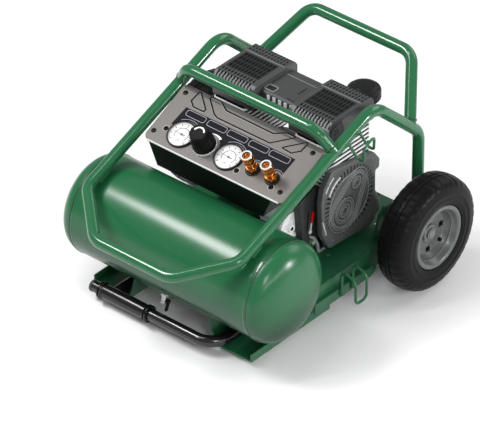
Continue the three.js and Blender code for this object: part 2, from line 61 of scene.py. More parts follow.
TUBE_R = 12.7
TRACK = 202
RISE = 0.389                  # slope of the long side tubes
HOOK_Y, HOOK_WIDE = 97.7, 35  # where the upper cord hook starts, and how far apart both hooks' legs are
WIRE_R = 3
TANK = dict(y=-142, z=164, r=109.5, seam=235, dome=50)
WHEEL = dict(x=290, y=250, z=127)
SHAFT = dict(y=168, z=191)
PANEL = dict(y=-79, z=318, slope=math.radians(25.2), half=186.5, length=146)
TANK_GAUGE = (-112.5, 41.3)   # places on the panel: mm across and mm up its slope
OUTLET_GAUGE = (12.3, 41.4)
KNOB = (-50, 41.5)
COUPLERS = ((77, 41), (128, 41))
NEEDLE_DEG = 176              # where both needles rest, from the panel's right
HANDLE = dict(leg=136, back=290, front=-232, z=30)
FAN_FACE = 165.2              # how far out the fan covers' raised rings stand; their lighter grey is painted highlight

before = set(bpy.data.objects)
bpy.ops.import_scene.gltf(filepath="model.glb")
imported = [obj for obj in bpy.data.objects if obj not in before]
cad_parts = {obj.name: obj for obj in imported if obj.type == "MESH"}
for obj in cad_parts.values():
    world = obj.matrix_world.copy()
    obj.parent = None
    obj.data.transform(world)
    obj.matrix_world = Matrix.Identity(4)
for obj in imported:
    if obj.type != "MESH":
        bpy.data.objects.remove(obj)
size_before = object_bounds()


def at(x, y, z):
    return Vector((x / 1000, (y - ORIGIN_Y) / 1000, z / 1000))


def linked(name, data):
    """A new object with this data, in the scene."""
    obj = bpy.data.objects.new(name, data)
    bpy.context.scene.collection.objects.link(obj)
    return obj


# ---------- camera

camera_data = bpy.data.cameras.new("camera")
camera_data.lens = CAMERA_LENS
camera_data.sensor_width = 36
camera_data.sensor_fit = "HORIZONTAL"
camera_data.clip_end = 100
camera = linked("camera", camera_data)
camera.location = at(*CAMERA_AT)
camera.rotation_euler = (at(*CAMERA_AIM) - at(*CAMERA_AT)).to_track_quat("-Z", "Y").to_euler()
bpy.context.scene.camera = camera


# ---------- materials

def material(name, color, rough=0.4, metal=0.0, coat=0.0, mottle=0.06, grain=0.02, scale=180, bump=0.0,
             spec=0.5):
    """A procedural finish: noise varies the colour and the roughness a little, and lifts the surface."""
    m = bpy.data.materials.new(name)
    m.use_nodes = True
    nodes, links = m.node_tree.nodes, m.node_tree.links
    shader = nodes["Principled BSDF"]
    shader.inputs["Metallic"].default_value = metal
    shader.inputs["Coat Weight"].default_value = coat
    shader.inputs["Coat Roughness"].default_value = 0.06
    shader.inputs["Specular IOR Level"].default_value = spec
    where = nodes.new("ShaderNodeTexCoord")
    noise = nodes.new("ShaderNodeTexNoise")
    noise.inputs["Scale"].default_value = scale
    noise.inputs["Detail"].default_value = 4
    links.new(where.outputs["Object"], noise.inputs["Vector"])
    ramp = nodes.new("ShaderNodeMapRange")
    ramp.inputs["To Min"].default_value = 1 - mottle
    ramp.inputs["To Max"].default_value = 1 + mottle
    links.new(noise.outputs["Fac"], ramp.inputs["Value"])
    tint = nodes.new("ShaderNodeMix")
    tint.data_type = "RGBA"
    tint.blend_type = "MULTIPLY"
    tint.inputs["Factor"].default_value = 1
    tint.inputs["A"].default_value = (*color, 1)
    links.new(ramp.outputs["Result"], tint.inputs["B"])
    links.new(tint.outputs["Result"], shader.inputs["Base Color"])
    wear = nodes.new("ShaderNodeMapRange")
    wear.inputs["To Min"].default_value = max(0.02, rough - grain)
    wear.inputs["To Max"].default_value = rough + grain
    links.new(noise.outputs["Fac"], wear.inputs["Value"])
    links.new(wear.outputs["Result"], shader.inputs["Roughness"])
    if bump:
        lift = nodes.new("ShaderNodeBump")
        lift.inputs["Strength"].default_value = bump
        lift.inputs["Distance"].default_value = 0.0004
        links.new(noise.outputs["Fac"], lift.inputs["Height"])
        links.new(lift.outputs["Normal"], shader.inputs["Normal"])
    return m


PAINT = material("green_paint", GREEN, rough=0.17, coat=0.3, scale=60, mottle=0.04, bump=0.02, spec=0.4)
PAINT_TANK = material("green_tank", GREEN, rough=0.25, scale=40, mottle=0.03, bump=0.01, spec=0.40)
PAINT_SHEET = material("green_sheet", (0.012, 0.100, 0.040), rough=0.34, coat=0.2, scale=80, bump=0.04)
WELD = material("weld", (0.008, 0.060, 0.024), rough=0.42, scale=400, bump=0.5, mottle=0.2)
BLACK = material("black_plastic", (0.007, 0.007, 0.0075), rough=0.40, scale=900, bump=0.12, spec=0.25)
GLOSS_BLACK = material("gloss_black", (0.005, 0.005, 0.005), rough=0.20, scale=300, bump=0.02)
BOX_BLACK = material("box_black", (0.006, 0.006, 0.006), rough=0.42, scale=900, bump=0.2, spec=0.3)
KNOB_BLACK = material("knob_black", (0.004, 0.004, 0.004), rough=0.3, scale=900, bump=0.05, spec=0.16)
DARK_STEEL = material("black_steel", (0.006, 0.006, 0.0065), rough=0.20, coat=0.4, scale=120, bump=0.02)
PANEL_PAINT = material("panel_grey", PANEL_GREY, rough=0.34, scale=1500, mottle=0.05, bump=0.08)
PANEL_DARK = material("panel_dark", (0.075, 0.069, 0.065), rough=0.4, scale=900, mottle=0.1)
PANEL_LIGHT = material("panel_light", (0.42, 0.40, 0.385), rough=0.34, scale=900, mottle=0.05)
SHELL = material("shell_grey", SHELL_GREY, rough=0.42, scale=1400, mottle=0.08, bump=0.2, spec=0.4)
COVER_GREY = material("cover_grey", (0.088, 0.092, 0.092), rough=0.36, scale=1400, mottle=0.08, bump=0.15)
# A lighter copy of the shell grey, for painted highlights on teeth, ridges, front bands and edges.
SHELL_HIGHLIGHT = material("shell_painted_highlight", (0.21, 0.21, 0.21), rough=0.42, scale=1400, mottle=0.08, bump=0.15)
# Light grey for painted highlights: the panel bead, the coupler lips, the bridge teeth and the cover's edge
# lines.
GLINT = material("painted_glint", (0.62, 0.62, 0.62), rough=0.35, scale=900, mottle=0.1)
RING_HIGHLIGHT = material("ring_painted_highlight", (0.17, 0.173, 0.173), rough=0.30, scale=900, mottle=0.1, bump=0.05)
SHELL_DARK = material("shell_dark", (0.010, 0.0105, 0.011), rough=0.45, scale=1400, bump=0.2, spec=0.35)
SWITCH_GREY = material("switch_grey", (0.040, 0.041, 0.042), rough=0.45, scale=1400, bump=0.15, spec=0.35)
NAVY = material("label_navy", LABEL_NAVY, rough=0.40, scale=500, spec=0.1)
INK = material("label_line", (0.36, 0.36, 0.38), rough=0.5, scale=500)
EMBOSS = material("emboss_black", (0.004, 0.004, 0.004), rough=0.5, scale=500, spec=0.1)
DIAL = material("gauge_white", (0.92, 0.92, 0.91), rough=0.4, scale=400, mottle=0.01)
PRINT = material("dial_print", (0.006, 0.006, 0.006), rough=0.5, scale=400)
GREY_PRINT = material("dial_grey", (0.12, 0.12, 0.13), rough=0.5, scale=400)
WHITE = material("white_mark", (0.88, 0.88, 0.88), rough=0.4, scale=400, mottle=0.01)
DULL_METAL = material("dull_metal", (0.20, 0.20, 0.205), rough=0.38, metal=0.6, scale=300, bump=0.05)
ZINC = material("zinc", (0.85, 0.85, 0.86), rough=0.26, metal=0.6, scale=240, bump=0.05)
ALU = material("aluminium", (0.95, 0.95, 0.96), rough=0.30, metal=0.1, scale=500, bump=0.1)
CAST = material("cast_aluminium", (0.94, 0.94, 0.95), rough=0.34, metal=0.1, scale=260, bump=0.25, mottle=0.1)
BRASSY = material("brass", BRASS, rough=0.17, metal=1, scale=200, mottle=0.1, bump=0.03)
RIM = material("rim_grey", RIM_GREY, rough=0.34, coat=0.2, metal=0.2, scale=150, bump=0.05)
TYRE = material("tyre", (0.0065, 0.0065, 0.007), rough=0.36, scale=420, mottle=0.25, bump=0.12, spec=0.09)
RUBBER = material("rubber", (0.010, 0.010, 0.010), rough=0.6, scale=420, bump=0.3, spec=0.35)
REDDY = material("red_plastic", RED, rough=0.32, scale=300, mottle=0.02)
GROUND = material("ground", (0.93, 0.93, 0.93), rough=0.7, scale=3, mottle=0.004)


def shade_low(m, low, high, darkest):
    """Multiplies a finish's colour by a ramp over height in the row frame (mm), darkest at the bottom:
    painted shade.
    """
    nodes, links = m.node_tree.nodes, m.node_tree.links
    shader = nodes["Principled BSDF"]
    before = shader.inputs["Base Color"].links[0].from_socket
    spot = nodes.new("ShaderNodeNewGeometry")
    split = nodes.new("ShaderNodeSeparateXYZ")
    ramp = nodes.new("ShaderNodeMapRange")
    ramp.interpolation_type = "SMOOTHSTEP"
    for socket, value in (("From Min", low / 1000), ("From Max", high / 1000),
                          ("To Min", darkest), ("To Max", 1)):
        ramp.inputs[socket].default_value = value
    mix = nodes.new("ShaderNodeMix")
    mix.data_type = "RGBA"
    mix.blend_type = "MULTIPLY"
    mix.inputs["Factor"].default_value = 1
    links.new(spot.outputs["Position"], split.inputs["Vector"])
    links.new(split.outputs["Z"], ramp.inputs["Value"])
    links.new(before, mix.inputs["A"])
    links.new(ramp.outputs["Result"], mix.inputs["B"])
    links.new(mix.outputs["Result"], shader.inputs["Base Color"])


# The tank's green darkens towards its underside: painted shade.
shade_low(PAINT_TANK, 50, 215, 0.16)

GLASS = material("lens", (1, 1, 1), rough=0.04, mottle=0, scale=50)
GLASS.node_tree.nodes["Principled BSDF"].inputs["Alpha"].default_value = 0.10


# ---------- building pieces

def place(x, y, z, origin):
    """Local X, Y, Z laid along three directions, at an origin given in mm."""
    m = Matrix((x, y, z)).transposed().to_4x4()
    m.translation = Vector(origin)
    return m


def spin(a):
    """A turn about local Z, in radians."""
    return Matrix.Rotation(a, 4, "Z")


def shift(x, y, z=0):
    return Matrix.Translation((x, y, z))


def polar(r, a, x=0, y=0):
    """The point at radius r and angle a round (x, y)."""
    return x + r * math.cos(a), y + r * math.sin(a)


def along_x(y, z, x=0):
    return place((0, 1, 0), (0, 0, 1), (1, 0, 0), (x, y, z))


def along_z(x, y, z=0):
    return place((1, 0, 0), (0, 1, 0), (0, 0, 1), (x, y, z))


SIDE_ON = along_x(0, 0)       # for outlines given as (y, z)

PV = Vector((0, math.cos(PANEL["slope"]), math.sin(PANEL["slope"])))
PN = Vector((0, -math.sin(PANEL["slope"]), math.cos(PANEL["slope"])))


def on_panel(u=0, v=0, turn=0, lift=0):
    origin = Vector((u, PANEL["y"], PANEL["z"])) + PV * v + PN * lift
    return place((1, 0, 0), PV, PN, origin) @ spin(math.radians(turn))


def piece(name, verts, faces, mat, body="chassis", where=None, sharp=32, bevel=0, instead=(), segments=2,
          mirror=False):
    """A mesh from points in mm, riding on a body; bevel is the edge radius in mm."""
    me = bpy.data.meshes.new(name)
    points = [Vector(v) for v in verts]
    if where is not None:
        points = [where @ p for p in points]
    if mirror:
        points = [Vector((-p.x, p.y, p.z)) for p in points]
    me.from_pydata([at(*p) for p in points], [], faces)
    obj = linked(name, me)
    bm = bmesh.new()
    bm.from_mesh(me)
    bmesh.ops.remove_doubles(bm, verts=bm.verts, dist=1e-7)
    bmesh.ops.recalc_face_normals(bm, faces=bm.faces)
    bm.to_mesh(me)
    bm.free()
    me.materials.append(mat)
    me.shade_smooth()
    me.set_sharp_from_angle(angle=math.radians(sharp))
    if bevel:
        soften(obj, bevel, segments)
    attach(obj, body)
    if instead:
        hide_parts(*instead)
    return obj


def soften(obj, radius, segments=2):
    mod = obj.modifiers.new("edge", "BEVEL")
    mod.width = radius / 1000
    mod.segments = segments
    mod.limit_method = "ANGLE"
    mod.angle_limit = math.radians(28)
    mod.harden_normals = True
    return obj


def repaint(name, mat, edge, segments=2):
    """Gives a CAD node its finish and softens its edges; its mesh stays as it is."""
    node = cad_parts[name]
    node.data.materials.clear()
    node.data.materials.append(mat)
    soften(node, edge, segments)


def join(parts):
    """Several shapes as one (verts, faces)."""
    verts, faces = [], []
    for vs, fs in parts:
        base = len(verts)
        verts += [Vector(v) for v in vs]
        faces += [tuple(i + base for i in f) for f in fs]
    return verts, faces


def moved(shape, matrix):
    return [matrix @ Vector(v) for v in shape[0]], shape[1]


def prism(outline, low, high):
    n = len(outline)
    verts = [(a, b, low) for a, b in outline] + [(a, b, high) for a, b in outline]
    faces = [tuple(range(n - 1, -1, -1)), tuple(range(n, 2 * n))]
    faces += [(i, (i + 1) % n, n + (i + 1) % n, n + i) for i in range(n)]
    return verts, faces


def rectangle(x0, x1, y0, y1, radius=0, steps=5):
    """A rectangle's outline; the corners are rounded if a radius is given."""
    corners = [(x0, y0), (x1, y0), (x1, y1), (x0, y1)]
    return rounded(corners, radius, steps) if radius else corners


def slab(x0, x1, y0, y1, z0, z1):
    return prism(rectangle(x0, x1, y0, y1), z0, z1)


def turned(profile, sides=64, wave=None):
    """Profile of (radius, height) spun about local Z; wave(angle, radius, height) may change the radius."""
    verts, faces = [], []
    for r, h in profile:
        for k in range(sides):
            a = 2 * math.pi * k / sides
            q = wave(a, r, h) if wave else r
            verts.append((q * math.cos(a), q * math.sin(a), h))
    for i in range(len(profile) - 1):
        for k in range(sides):
            j = (k + 1) % sides
            faces.append((i * sides + k, i * sides + j, (i + 1) * sides + j, (i + 1) * sides + k))
    return verts, faces


def ring(outer, inner, low, high, sides=48):
    return turned([(inner, low), (outer, low), (outer, high), (inner, high), (inner, low)], sides)


def disc(r, low, high, sides=48, edge=0):
    profile = [(0, low), (r, low), (r, high - edge), (r - edge, high), (0, high)]
    return turned(profile if edge else [(0, low), (r, low), (r, high), (0, high)], sides)


def hole(r, spot, reach=20, sides=48):
    """A round cutter that reaches both ways from a spot (x, y)."""
    return moved(disc(r, -reach, reach, sides), shift(*spot))


def oblong(length, width, low, high, steps=6):
    """A slot shape with round ends, along local X."""
    r, half, out = width / 2, (length - width) / 2, []
    for start, x in ((-math.pi / 2, half), (math.pi / 2, -half)):
        out += [polar(r, start + math.pi * k / steps, x) for k in range(steps + 1)]
    return prism(out, low, high)


def rounded(outline, radius, steps=5):
    """An outline with its corners rounded; radius is one number or one for each corner."""
    out = []
    n = len(outline)
    radii = radius if hasattr(radius, "__len__") else [radius] * n
    for i, (x, y) in enumerate(outline):
        p, r = Vector((x, y)), radii[i]
        back = (Vector(outline[i - 1]) - p).normalized()
        ahead = (Vector(outline[(i + 1) % n]) - p).normalized()
        half = back.angle(ahead) / 2
        if r <= 0 or half > math.pi / 2 - 0.02:
            out.append((x, y))
            continue
        centre = p + (back + ahead).normalized() * (r / math.sin(half))
        start, end = p + back * (r / math.tan(half)) - centre, p + ahead * (r / math.tan(half)) - centre
        turn = start.angle_signed(end)
        for k in range(steps + 1):
            a = -turn * k / steps
            out.append((centre.x + start.x * math.cos(a) - start.y * math.sin(a),
                        centre.y + start.x * math.sin(a) + start.y * math.cos(a)))
    return out


def bent(corners, steps=10):
    """Corners (x, y, z, bend radius) as a list of points with rounded bends."""
    pts = [Vector(c[:3]) for c in corners]
    out = [pts[0]]
    for i in range(1, len(pts) - 1):
        back, ahead = (pts[i - 1] - pts[i]).normalized(), (pts[i + 1] - pts[i]).normalized()
        half, r = back.angle(ahead) / 2, corners[i][3]
        centre = pts[i] + (back + ahead).normalized() * (r / math.sin(half))
        start = pts[i] + back * (r / math.tan(half)) - centre
        axis = start.cross(-back).normalized()
        for k in range(steps + 1):
            out.append(Matrix.Rotation((math.pi - 2 * half) * k / steps, 3, axis) @ start + centre)
    return out + [pts[-1]]


def tube(points, r, sides=32, closed_ends=True):
    """A round bar through points, its section carried along without twist."""
    n = len(points)
    tangents = []
    for i in range(n):
        t = Vector()
        if i > 0:
            t += (points[i] - points[i - 1]).normalized()
        if i < n - 1:
            t += (points[i + 1] - points[i]).normalized()
        tangents.append(t.normalized())
    side = tangents[0].orthogonal().normalized()
    verts, faces = [], []
    for i in range(n):
        if i:
            side = tangents[i - 1].rotation_difference(tangents[i]) @ side
        other = tangents[i].cross(side)
        for k in range(sides):
            a = 2 * math.pi * k / sides
            verts.append(points[i] + (side * math.cos(a) + other * math.sin(a)) * r)
    for i in range(n - 1):
        for k in range(sides):
            j = (k + 1) % sides
            faces.append((i * sides + k, i * sides + j, (i + 1) * sides + j, (i + 1) * sides + k))
    if closed_ends:
        faces.append(tuple(range(sides - 1, -1, -1)))
        faces.append(tuple((n - 1) * sides + k for k in range(sides)))
    return verts, faces


def arc_band(r0, r1, a0, a1, low, high, steps=40):
    """A flat arc between two radii and two angles in degrees."""
    outline = []
    for r, span in ((r1, (a0, a1)), (r0, (a1, a0))):
        for k in range(steps + 1):
            a = math.radians(span[0] + (span[1] - span[0]) * k / steps)
            outline.append(polar(r, a))
    return prism(outline, low, high)


def outline_line(outline, width, low, high, closed=True):
    """A flat line of even width that follows an outline."""
    n = len(outline)
    pts = [Vector(p) for p in outline]
    inner, outer = [], []
    for i in range(n):
        a = (pts[i] - pts[i - 1]).normalized() if pts[i] != pts[i - 1] else Vector((1, 0))
        b = (pts[(i + 1) % n] - pts[i]).normalized()
        side = Vector((-(a + b).y, (a + b).x)).normalized()
        inner.append(pts[i] + side * width / 2)
        outer.append(pts[i] - side * width / 2)
    verts, faces = [], []
    for row, h in ((inner, low), (outer, low), (inner, high), (outer, high)):
        verts += [(p.x, p.y, h) for p in row]
    for i in range(n if closed else n - 1):
        j = (i + 1) % n
        for p, q in ((0, 1), (1, 3), (3, 2), (2, 0)):
            faces.append((p * n + i, p * n + j, q * n + j, q * n + i))
    return verts, faces


def cut(obj, shape, where=None, mirror=False):
    """Takes a shape out of an object's mesh for good."""
    cutter = piece("cutter", *shape, SHELL_DARK, where=where, mirror=mirror)
    mod = obj.modifiers.new("cut", "BOOLEAN")
    mod.operation = "DIFFERENCE"
    mod.solver = "EXACT"
    mod.object = cutter
    bpy.context.view_layer.update()
    deps = bpy.context.evaluated_depsgraph_get()
    done = bpy.data.meshes.new_from_object(obj.evaluated_get(deps))
    obj.modifiers.clear()
    obj.data = done
    bpy.data.objects.remove(cutter)
    done.shade_smooth()
    done.set_sharp_from_angle(angle=math.radians(32))
    return obj


def side_z(y):
    """Height of the long side tubes' centre line at y."""
    return 356.2 + RISE * y


SIDES = (("left", True), ("right", False))

# ---------- tube frame and hooks

half_loop = [(TRACK, 331, 84.2, 0), (TRACK, 331, 292, 50), (TRACK, 183, 427.4, 60),
             (TRACK, -229.6, 266.9, 40), (100, -321.5, 231.2, 48)]
whole_loop = half_loop + [(-x, y, z, r) for x, y, z, r in reversed(half_loop)]
piece("main_tube", *tube(bent(whole_loop, 14), TUBE_R, 40), PAINT,
      instead=("side_hoop_left", "side_hoop_right", "front_loop"))
arch = [(-TRACK, 61, 379.5, 0), (-170, 41.3, 430.2, 35), (170, 41.3, 430.2, 35), (TRACK, 61, 379.5, 0)]
piece("crossbar_tube", *tube(bent(arch, 14), TUBE_R, 40), PAINT, instead=("top_crossbar",))
lift = [(-TRACK, 302, 318.5, 0), (-133, 390, 425, 40), (133, 390, 425, 40), (TRACK, 302, 318.5, 0)]
piece("lift_tube", *tube(bent(lift, 14), TUBE_R, 40), PAINT, instead=("lift_hoop",))


def weld_bead(name, centre, axis, r, thick=2.0):
    """A small uneven bead round the end of a tube."""
    z = Vector(axis).normalized()
    x = z.orthogonal().normalized()
    verts, faces, around, small = [], [], 48, 8
    for k in range(around):
        a = 2 * math.pi * k / around
        out = x * math.cos(a) + z.cross(x) * math.sin(a)
        t = thick * (1 + 0.18 * math.sin(k * 2.6))
        for j in range(small):
            b = 2 * math.pi * j / small
            verts.append(Vector(centre) + out * (r + t * math.cos(b)) + z * t * math.sin(b))
    for k in range(around):
        for j in range(small):
            faces.append((k * small + j, (k + 1) % around * small + j,
                          (k + 1) % around * small + (j + 1) % small, k * small + (j + 1) % small))
    return piece(name, verts, faces, WELD)


for side, mirror in SIDES:
    s = -1 if mirror else 1
    end, knee = Vector((s * TRACK, 61, 379.5)), Vector((s * 170, 41.3, 430.2))
    way = (knee - end).normalized()
    weld_bead(f"crossbar_weld_{side}", end + way * 14.2, way, 12.4)
    end, knee = Vector((s * TRACK, 302, 318.5)), Vector((s * 133, 390, 425))
    way = (knee - end).normalized()
    weld_bead(f"lift_weld_{side}", end + way * 13.6, way, 12.4)
    weld_bead(f"foot_weld_{side}", (s * TRACK, 331, 82.6), (0, 0, 1), 12.8)
    normal, run = Vector((0, -RISE, 1)).normalized(), Vector((0, 1, RISE)).normalized()
    middle = Vector((s * TRACK, TANK["y"], TANK["z"])) + normal * 112.3
    piece(f"tube_pad_{side}", *slab(-9, 9, -16, 16, -2.6, 4.5), PAINT,
          where=place((1, 0, 0), run, normal, middle), bevel=1.6)


def on_tube(run, out, up):
    """A point by the right side tube: mm along it from the hook, mm outwards and mm square to it."""
    length = math.hypot(1, RISE)
    return (TRACK + out, HOOK_Y + run / length - RISE / length * up,
            side_z(HOOK_Y) + RISE / length * run + up / length)


half_hook = ((1, -15, 0), (21, -83, 10), (44, -7, 12))
upper = [(*on_tube(0, out, up), r) for out, up, r in half_hook]
upper += [(*on_tube(HOOK_WIDE, out, up), r) for out, up, r in reversed(half_hook)]
piece("hook_wire_upper", *tube(bent(upper, 10), WIRE_R, 20), PAINT, instead=("cord_hook_upper",))
lower = [(225.4, 62, 42, 0), (225.4, 62, 100, 12), (262, 62, 86, 16), (262, 62, 31, 12)]
lower += [(x, 62 + HOOK_WIDE, z, r) for x, y, z, r in reversed(lower)]
piece("hook_wire_lower", *tube(bent(lower, 10), WIRE_R, 20), PAINT, instead=("cord_hook_lower",))
for i, run in enumerate((0, HOOK_WIDE)):
    piece(f"hook_weld_{i}", *turned([(0, -3), (4.4, -1.6), (5, 0), (3.8, 2), (0, 2.6)], 20), WELD,
          where=along_z(*on_tube(run, 1.5, -15.5)))
    piece(f"hook_foot_weld_{i}", *turned([(0, -10), (4.4, -8), (4.8, 8), (3.4, 11), (0, 11)], 20), WELD,
          where=along_z(223.5, 62 + run, 46))

# ---------- tank

profile = []
for k in range(25):
    a = math.pi / 2 * k / 24
    profile.append((TANK["r"] * math.sin(a) ** 0.9, TANK["seam"] + TANK["dome"] * math.cos(a) ** 0.92))
shell_profile = [(r, -h) for r, h in profile] + list(reversed(profile))
tank_axis = along_x(TANK["y"], TANK["z"])
piece("tank_skin", *turned(shell_profile, 144), PAINT_TANK, where=tank_axis, sharp=60,
      instead=("tank_shell",))
for side, mirror in SIDES:
    turns = [2 * math.pi * k / 10 for k in range(11)]
    bead = [(TANK["r"] - 1 + 2.1 * math.cos(b), TANK["seam"] + 2.6 * math.sin(b)) for b in turns]
    piece(f"tank_seam_{side}", *turned(bead, 240, lambda a, r, h: r + 0.25 * math.sin(a * 70)), WELD,
          where=tank_axis, sharp=60, mirror=mirror)
    lap = ring(TANK["r"] + 0.35, TANK["r"] - 2, TANK["seam"] - 7, TANK["seam"] - 3.5, 144)
    piece(f"tank_lap_{side}", *lap, PAINT, where=tank_axis, sharp=60, mirror=mirror)
seam_angle = math.radians(-118)
seam_at = Vector((0, *polar(TANK["r"], seam_angle, TANK["y"], TANK["z"])))
piece("tank_long_seam", *tube([seam_at + Vector((x, 0, 0)) for x in range(-232, 233, 8)], 1.6, 10), WELD)

drain = Vector((0, -0.411, -0.9116))    # the way the drain valve points
across = drain.cross(Vector((1, 0, 0)))
drain_place = place((1, 0, 0), across, drain, (-30, TANK["y"], TANK["z"]))
piece("drain_bushing", *disc(13, 106, 114, 32, 1.5), PAINT, where=drain_place, sharp=40)
piece("drain_hex", *disc(9.5, 113.5, 119, 6), ZINC, where=drain_place, sharp=20, bevel=0.6)
piece("drain_barrel", *turned([(0, 118), (7, 118), (7, 121), (6, 122), (6, 129), (7.6, 130), (7.6, 134),
                               (3, 134), (3, 127), (0, 127)], 32), ZINC, where=drain_place,
      instead=("drain_valve_body",))
lever_at = Vector((-30, TANK["y"], TANK["z"])) + drain * 126
lever_place = place(across, drain, (1, 0, 0), lever_at)
blade = prism(rounded([(-4, -3), (4, -3), (4.6, 22), (-4.6, 22)], 3), 0, 3)
drain_grip = join([disc(4.6, 7.5, 15, 24, 0.8), moved(blade, shift(0, 0, 11))])
piece("drain_grip", *drain_grip, BLACK, body="drain", where=lever_place, bevel=0.5,
      instead=("drain_lever",))

# ---------- wheels

def lugs(a, r, h):
    """Shallow tread blocks near the outside of the tyre."""
    if r < 112:
        return r
    step = math.sin(a * 36 + (0.9 if h > 0 else -0.9) + abs(h) * 0.05)
    return r - (1.0 if step < -0.6 else 0)


tyre_profile = [(66.4, -30.4), (71.3, -31.4), (73, -35.6), (77, -37.2), (82, -37.6), (83.2, -38.3),
                (85, -37.9), (95, -38), (96.4, -38.6), (98, -38), (106, -37), (113, -34.6), (118, -31.5),
                (121.5, -27.5), (124, -22), (125.6, -14), (126.6, -7.2), (124.6, -6.2), (124.6, -4.2),
                (126.9, -3.2)]
tyre_profile += [(r, -h) for r, h in reversed(tyre_profile)]
tyre_profile.append(tyre_profile[0])
rim_profile = [(60.5, -33), (62, -35), (66, -36.2), (70, -35.6), (71, -34), (70.4, -32.3), (66.1, -30.8),
               (65.9, 0), (66.1, 30.8), (70.4, 32.3), (71, 34), (70, 35.6), (66, 36.2), (62, 35),
               (60.5, 33), (58, 24), (55, 21.5), (54, -20), (57, -24), (60.5, -33)]
web_profile = [(12, 8), (20, 8), (24, 6.4), (42, 6.4), (48, 8), (52, 12.5), (54.6, 19), (56, 21),
               (56.8, 18), (55, 8), (52, 5.4), (45, 3), (24, 3), (20, 4.6), (12, 4.6), (12, 8)]
hub_profile = [(8.4, -32), (17, -32), (17, 2), (20.4, 4), (20.4, 10.6), (19, 12.4), (14.5, 12.4),
               (13.8, 11.4), (11.8, 11.4), (11.2, 12.6), (8.4, 12.6), (8.4, -32)]
window = prism(rectangle(-6.5, 6.5, -7, 7, 2.5), -5, 30)
for side, mirror in SIDES:
    wheel = along_x(WHEEL["y"], WHEEL["z"], WHEEL["x"])
    body = f"wheel_{side}"
    piece(f"tyre_body_{side}", *turned(tyre_profile, 288, lugs), TYRE, body=body, where=wheel, sharp=38,
          mirror=mirror, instead=(f"tyre_{side}",))
    piece(f"rim_body_{side}", *turned(rim_profile, 96), RIM, body=body, where=wheel, sharp=40,
          mirror=mirror, instead=(f"rim_{side}",))
    web = piece(f"rim_web_{side}", *turned(web_profile, 96), RIM, body=body, where=wheel, sharp=40,
                mirror=mirror)
    # A near-black disc behind the web, seen through its windows: painted shade.
    piece(f"rim_back_{side}", *disc(57, -3, 0, 48), SHELL_DARK, body=body, where=wheel, mirror=mirror)
    turns = [spin(math.pi / 2 * k) @ shift(41, 0) for k in range(4)]
    cut(web, join([moved(window, turn) for turn in turns]), where=wheel, mirror=mirror)
    piece(f"hub_{side}", *turned(hub_profile, 64), RIM, body=body, where=wheel, sharp=35, mirror=mirror)
    stem = moved(disc(4.2, 3, 13, 28, 0.8), shift(34.5, -34.5))
    piece(f"valve_{side}", *stem, TYRE, body=body, where=wheel, mirror=mirror)
    axle = join([disc(8, -112, 17, 32, 1), disc(12, -96.4, -33, 32, 1)])
    piece(f"axle_bar_{side}", *axle, DULL_METAL, where=wheel, mirror=mirror, instead=(f"axle_{side}",))
    piece(f"axle_clip_{side}", *ring(11, 8.1, 12.9, 15.2, 36), DULL_METAL, where=wheel, mirror=mirror)

# ---------- pull handle

leg, front, back = HANDLE["leg"], HANDLE["front"], HANDLE["back"]
u_bend = [(leg, back, HANDLE["z"], 0), (leg, front, HANDLE["z"], 45), (-186, front, HANDLE["z"], 0)]
piece("handle_tube", *tube(bent(u_bend, 16), TUBE_R, 36), DARK_STEEL, body="handle",
      instead=("pull_handle",))
left_leg = [Vector((-leg, y, HANDLE["z"])) for y in (back, front)]
piece("handle_leg", *tube(left_leg, TUBE_R, 36), DARK_STEEL, body="handle")
cross = along_x(front, HANDLE["z"])

grip_profile = [(12.8, -166), (16, -166), (18.6, -165), (19, -163.4), (18.4, -162), (16, -161.4),
                (15.8, -159.4), (18.2, -158.8), (18.8, -157.4), (18, -156), (15.9, -155), (16.3, -120),
                (16.3, -80), (15.9, -44), (18, -43), (18.8, -41.6), (18.2, -40.2), (15.8, -39.6),
                (16, -37.6), (18.4, -37), (19, -35.6), (18.6, -34), (16, -33), (12.8, -33), (12.8, -166)]
piece("grip_sleeve", *turned(grip_profile, 96), GLOSS_BLACK, body="handle", where=cross, sharp=50,
      instead=("handle_grip",))
cap_profile = [(0, -194)]
for k in range(1, 9):
    a = math.pi / 2 * k / 8
    cap_profile.append((13.4 * math.sin(a), -187.4 - 6.6 * math.cos(a)))
cap_profile += [(13.4, -184), (12.6, -183.6), (0, -183.6)]
piece("end_cap", *turned(cap_profile, 40), SWITCH_GREY, body="handle", where=cross, instead=("handle_cap",))

# ---------- sheet metal

for name in ("rear_deck", "runner_left", "runner_right", "tank_saddle_left", "tank_saddle_right",
             "handle_guide_left", "handle_guide_right", "axle_bracket_left", "axle_bracket_right"):
    repaint(name, PAINT_SHEET, 0.9)
for name in ("foot_left", "foot_right", "pump_mount_left", "pump_mount_right"):
    repaint(name, RUBBER, 1.2)

# ---------- panel and its box

repaint("control_box", BOX_BLACK, 1.6)

half, tall = PANEL["half"], PANEL["length"]
plate_edge = rectangle(-half, half, 0, tall, [15, 15, 7, 7], 8)
plate = piece("panel_skin", *prism(plate_edge, -2.5, 0), PANEL_PAINT, where=on_panel(),
              instead=("face_plate",))
openings = [hole(29.6, TANK_GAUGE), hole(29.6, OUTLET_GAUGE), hole(13, KNOB, sides=32)]
openings += [hole(9.9, spot, sides=32) for spot in COUPLERS]
cut(plate, join(openings), where=on_panel())
soften(plate, 0.8)
rail = [Vector((x, PANEL["y"], PANEL["z"])) - PN * 1.6 for x in (-half + 13, half - 13)]
# The front bead is light grey: a painted highlight.
piece("panel_front_bead", *tube(rail, 2.1, 14), GLINT)
